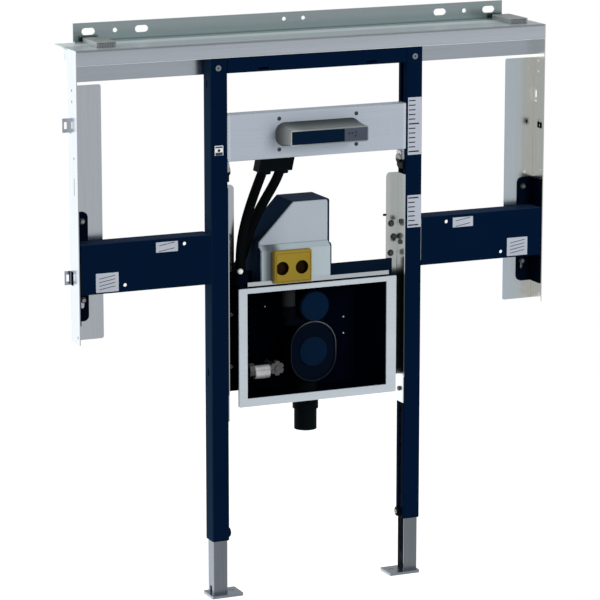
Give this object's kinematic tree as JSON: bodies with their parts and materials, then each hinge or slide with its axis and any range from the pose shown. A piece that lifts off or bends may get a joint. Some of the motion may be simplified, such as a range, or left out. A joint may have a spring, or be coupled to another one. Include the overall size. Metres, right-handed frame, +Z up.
{
  "type": "basin installation frame",
  "caption": "Wall-hung steel frame for a wash basin, with slotted posts, side arms, a tap crossbar, a valve housing and a recessed trap box, on telescopic legs.",
  "frame": {"origin": "on the back face of the wall rail, midway along its line of holes", "axes": "+X to the right, +Y into the wall, +Z up; -Y is the front"},
  "size_m": [1.13, 0.196, 1.259],
  "materials": {
    "navy_paint": "satin powder coat",
    "zinc_sheet": "galvanised sheet",
    "leg_zinc": "galvanised, dull",
    "bar_zinc": "galvanised sheet",
    "black_plastic": "moulded",
    "tap_grey": "satin",
    "navy_panel": "satin",
    "sensor_grey": "satin",
    "box_plastic": "moulded",
    "frame_aluminium": "anodised",
    "housing_plastic": "moulded",
    "cover_plastic": "moulded",
    "yellow_plastic": "moulded",
    "tube_rubber": "foam sleeve",
    "trap_plastic": "moulded",
    "pipe_grey": "moulded",
    "valve_chrome": "polished"
  },
  "bodies": {
    "frame": {"left_post": "navy_paint", "right_post": "navy_paint", "left_post_base": "navy_paint", "right_post_base": "navy_paint", "top_rail": "navy_paint", "left_post_cap": "black_plastic", "right_post_cap": "black_plastic", "top_channel": "zinc_sheet", "cross_angle": "zinc_sheet", "wall_rail": "zinc_sheet", "left_wall_bracket": "zinc_sheet", "right_wall_bracket": "zinc_sheet", "left_side_panel": "zinc_sheet", "right_side_panel": "zinc_sheet", "left_arm": "navy_paint", "right_arm": "navy_paint", "left_arm_bracket": "navy_paint", "right_arm_bracket": "navy_paint", "tap_crossbar": "bar_zinc", "tap_body": "tap_grey", "tap_front_panel": "navy_panel", "tap_sensor_panel": "sensor_grey", "left_crossbar_clamp": "black_plastic", "right_crossbar_clamp": "black_plastic", "left_box_rail": "zinc_sheet", "right_box_rail": "zinc_sheet", "function_box": "box_plastic", "box_front_frame": "frame_aluminium", "box_top_strip": "frame_aluminium", "valve_housing": "housing_plastic", "valve_cover": "cover_plastic", "valve_base_cover": "cover_plastic", "connection_guard": "yellow_plastic", "supply_manifold": "black_plastic", "front_supply_tube": "tube_rubber", "back_supply_tube": "tube_rubber", "trap_body": "trap_plastic", "trap_cover": "trap_plastic", "trap_upper_cap": "trap_plastic", "trap_inlet_pipe": "pipe_grey", "shut_off_valve": "valve_chrome", "waste_pipe": "black_plastic"},
    "left_leg": {"left_leg": "leg_zinc", "left_foot_plate": "leg_zinc"},
    "right_leg": {"right_leg": "leg_zinc", "right_foot_plate": "leg_zinc"}
  },
  "joints": [
    {"name": "left_leg_slide", "type": "slide", "parent": "frame", "child": "left_leg", "axis": [0, 0, 1], "range_m": [-0.072, 0.107]},
    {"name": "right_leg_slide", "type": "slide", "parent": "frame", "child": "right_leg", "axis": [0, 0, 1], "range_m": [-0.072, 0.107]}
  ]
}
